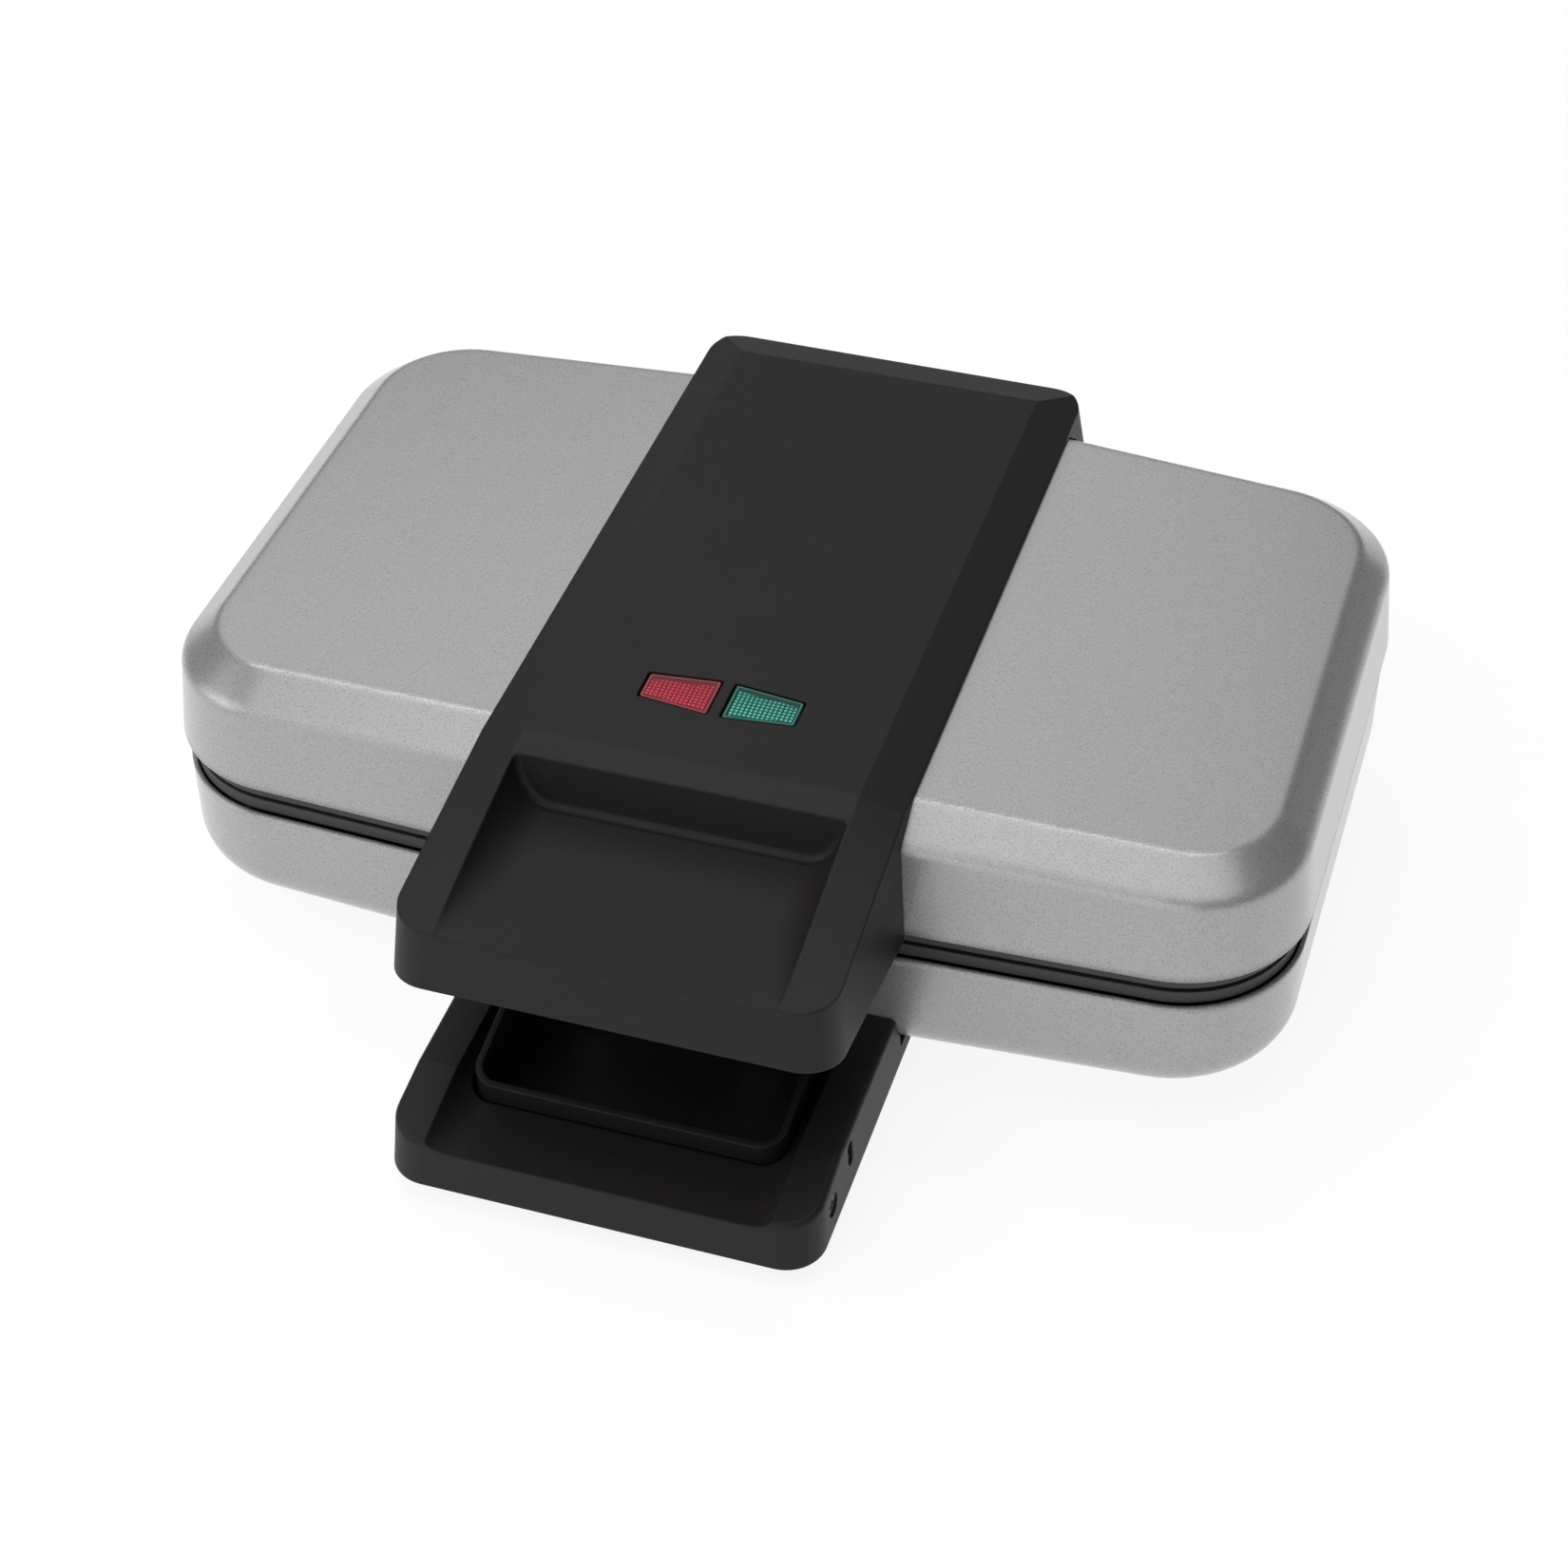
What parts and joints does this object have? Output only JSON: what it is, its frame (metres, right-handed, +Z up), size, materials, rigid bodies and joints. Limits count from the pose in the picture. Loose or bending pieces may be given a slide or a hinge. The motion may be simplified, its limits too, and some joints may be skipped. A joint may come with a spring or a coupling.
{
  "type": "sandwich maker",
  "caption": "Two-slice sandwich maker with silver shells, a black centre band with red and green lenses, twin handles with a pull-cup latch and coated plates.",
  "frame": {"origin": "middle of the machine on the table, under the middle of its closed overall box", "axes": "+X along the width to the user's right, +Y towards the hinge, +Z up"},
  "size_m": [0.264, 0.2372, 0.0795],
  "materials": {
    "silver": "fine metallic lacquer",
    "black_plastic": "fine spark texture",
    "plate_coating": "cast, non-stick coating",
    "steel": "plain",
    "sheet": "rolled sheet",
    "ceramic": "unglazed ceramic",
    "rubber": "matte",
    "green_lens": "clear with prism grid",
    "red_lens": "clear with prism grid",
    "lamp_glass": "clear",
    "inner_plastic": "natural"
  },
  "bodies": {
    "base": {"lower_shell": "silver", "base": "black_plastic", "lower_plate": "plate_coating", "lower_heater": "steel", "lower_reflector": "sheet", "thermostat": "steel", "terminal_block": "ceramic", "cord_gland": "rubber", "feet": "rubber", "base_screws": "steel", "hinge_pins": "steel", "latch_screws": "steel", "handle_bottom": "black_plastic"},
    "lid": {"upper_shell": "silver", "top_band": "black_plastic", "handle_cover": "black_plastic", "cover_screws": "steel", "catch_plate": "steel", "catch_screws": "steel", "band_screws": "steel", "lens_green": "green_lens", "lens_red": "red_lens", "indicator_lamps": "lamp_glass", "lamp_holder": "inner_plastic", "upper_plate": "plate_coating", "upper_heater": "steel", "upper_reflector": "sheet", "upper_plate_screws": "steel", "thermal_fuse": "ceramic"},
    "latch": {"latch": "black_plastic", "latch_hooks": "steel", "hook_rivets": "steel"}
  },
  "joints": [
    {"name": "lid_hinge", "type": "hinge", "parent": "base", "child": "lid", "pos_m": [0, 0.11, 0.0432], "axis": [-1, 0, 0], "range_deg": [0, 100]},
    {"name": "latch_pivot", "type": "hinge", "parent": "base", "child": "latch", "pos_m": [0, -0.1038, 0.0125], "axis": [1, 0, 0], "range_deg": [0, 10], "stiffness_Nm_per_rad": 0.15}
  ]
}
